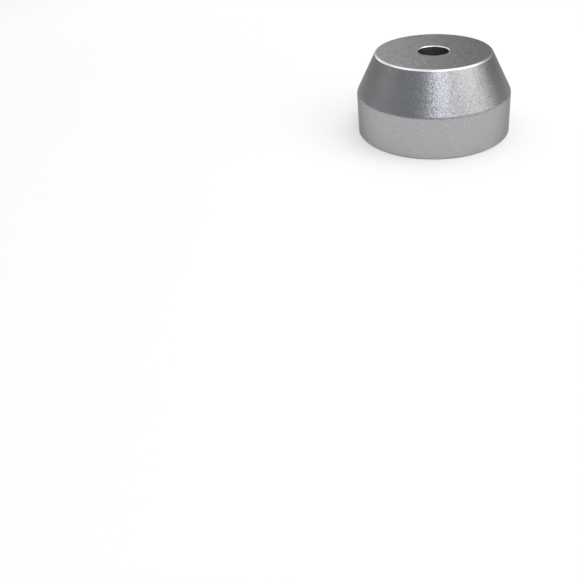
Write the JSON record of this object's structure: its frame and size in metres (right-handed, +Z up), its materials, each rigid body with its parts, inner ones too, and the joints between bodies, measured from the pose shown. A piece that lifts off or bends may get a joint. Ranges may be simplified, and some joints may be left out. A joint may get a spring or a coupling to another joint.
{
  "type": "record spindle adapter",
  "caption": "Solid turned plug with a straight wall, a cone and a through bore, which centres a large-hole record on a turntable spindle.",
  "frame": {"origin": "centre of the base, on the spindle axis", "axes": "+Z up along the spindle axis, from the base to the top face; X and Y lie in the base"},
  "size_m": [0.038, 0.038, 0.02],
  "materials": {
    "blasted_aluminium": "bead-blasted and clear anodised, with bright-cut edges at the top face and the bore"
  },
  "bodies": {
    "root": {"adapter_body": "blasted_aluminium"}
  },
  "joints": []
}
